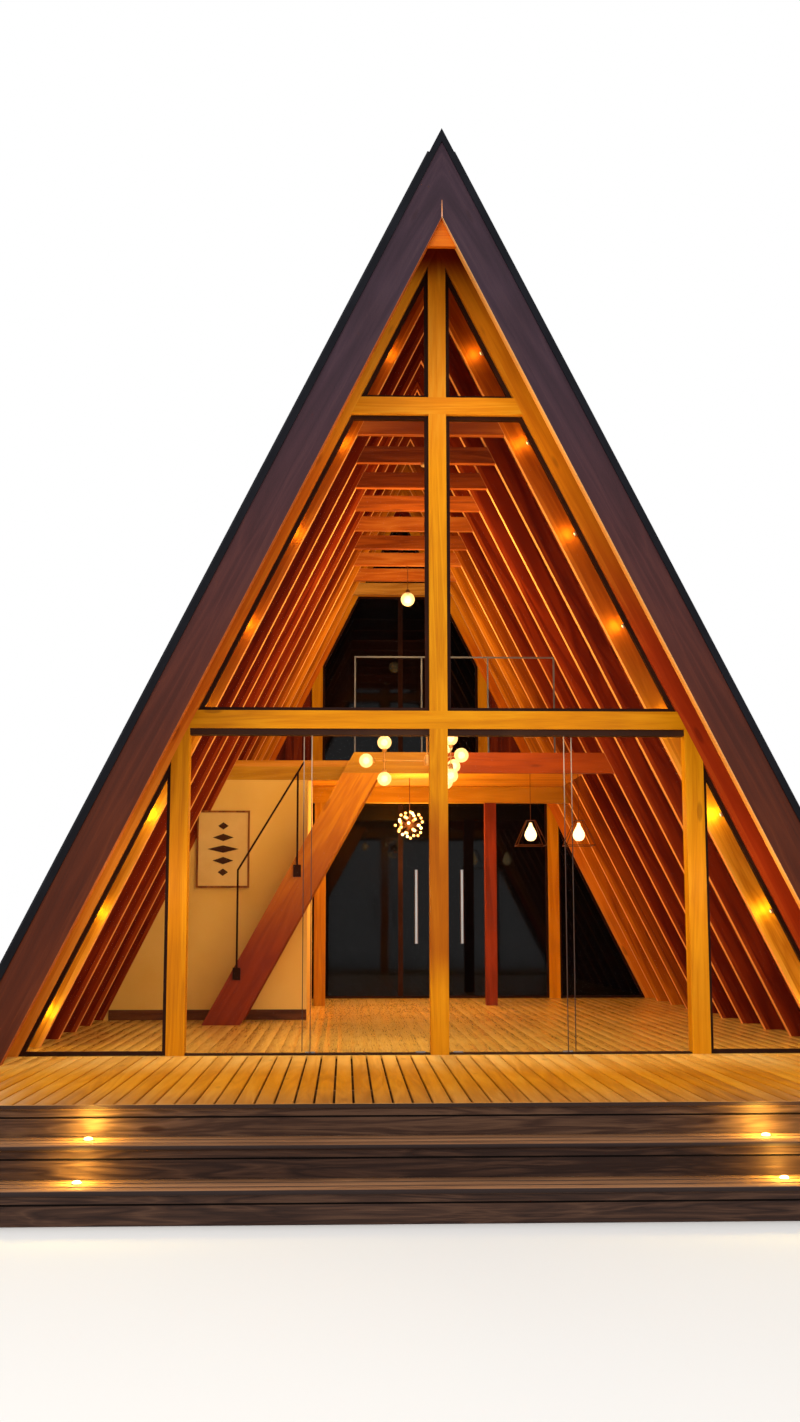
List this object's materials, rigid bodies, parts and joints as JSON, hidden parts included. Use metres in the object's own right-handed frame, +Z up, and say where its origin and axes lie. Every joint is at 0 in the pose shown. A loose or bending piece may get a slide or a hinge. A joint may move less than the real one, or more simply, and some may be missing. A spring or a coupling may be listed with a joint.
{
  "type": "a-frame cabin",
  "caption": "Timber A-frame cabin on a low platform with full-height glazed gables, sliding glass doors, a loft, a steep stair and wide front steps.",
  "frame": {"origin": "on the ground at the middle of the whole footprint, steps included", "axes": "+Z up, +Y from the front steps into the house, +X to the right seen from the front"},
  "size_m": [6.803, 14.154, 7.0318],
  "materials": {
    "facade_timber": "satin varnish",
    "roof_timber": "satin varnish",
    "fascia_timber": "dark stain",
    "loft_timber": "satin varnish",
    "deck_timber": "oiled",
    "step_timber": "weathered stain",
    "floor_timber": "polished",
    "picture": "matt",
    "roofing": "matt",
    "dark_metal": "satin",
    "pendant_wire": "satin",
    "steel": "brushed",
    "brass": "polished",
    "lamp_metal": "satin",
    "glazing": "clear",
    "plaster": "smooth",
    "concrete": "rough"
  },
  "bodies": {
    "cabin": {"front_frame_left": "facade_timber", "front_frame_right": "facade_timber", "front_posts": "facade_timber", "front_transoms": "facade_timber", "rear_frame": "facade_timber", "rear_posts": "facade_timber", "rear_transoms": "facade_timber", "left_rafters": "roof_timber", "right_rafters": "roof_timber", "collar_ties": "roof_timber", "roof_panel_left": "roof_timber", "roof_panel_right": "roof_timber", "ridge_gussets": "roof_timber", "front_fascia_left": "fascia_timber", "front_fascia_right": "fascia_timber", "rear_fascia": "fascia_timber", "loft_beams": "loft_timber", "loft_floor": "loft_timber", "loft_posts": "loft_timber", "rear_infills": "loft_timber", "stair_stringers": "loft_timber", "stair_treads": "loft_timber", "front_deck": "deck_timber", "rear_deck": "deck_timber", "rear_railing": "deck_timber", "front_steps": "step_timber", "step_risers": "step_timber", "platform_skirts": "step_timber", "step_blocks": "step_timber", "floor_bearers": "step_timber", "floor_joists": "step_timber", "house_floor": "floor_timber", "picture_panel": "picture", "roof_covering_left": "roofing", "roof_covering_right": "roofing", "verge_trims": "dark_metal", "ridge_cap": "dark_metal", "front_glazing_frames": "dark_metal", "rear_glazing_frames": "dark_metal", "front_door_tracks": "dark_metal", "stair_handrail": "dark_metal", "loft_guard": "dark_metal", "rear_railing_rods": "dark_metal", "pendant_lamps": "pendant_wire", "chandelier": "brass", "step_lamps": "lamp_metal", "slope_spots": "lamp_metal", "front_upper_panes": "glazing", "front_side_panes": "glazing", "front_fixed_panes": "glazing", "rear_upper_panes": "glazing", "rear_lower_panes": "glazing", "partition_wall": "plaster", "partition_side_wall": "plaster", "foundation_piers": "concrete"},
    "left_door": {"left_door_pane": "glazing", "left_door_fittings": "steel"},
    "right_door": {"right_door_pane": "glazing", "right_door_fittings": "steel"}
  },
  "joints": [
    {"name": "left_door_slide", "type": "slide", "parent": "cabin", "child": "left_door", "axis": [-1, 0, 0], "range_m": [0, 0.72]},
    {"name": "right_door_slide", "type": "slide", "parent": "cabin", "child": "right_door", "axis": [1, 0, 0], "range_m": [0, 0.72]}
  ]
}
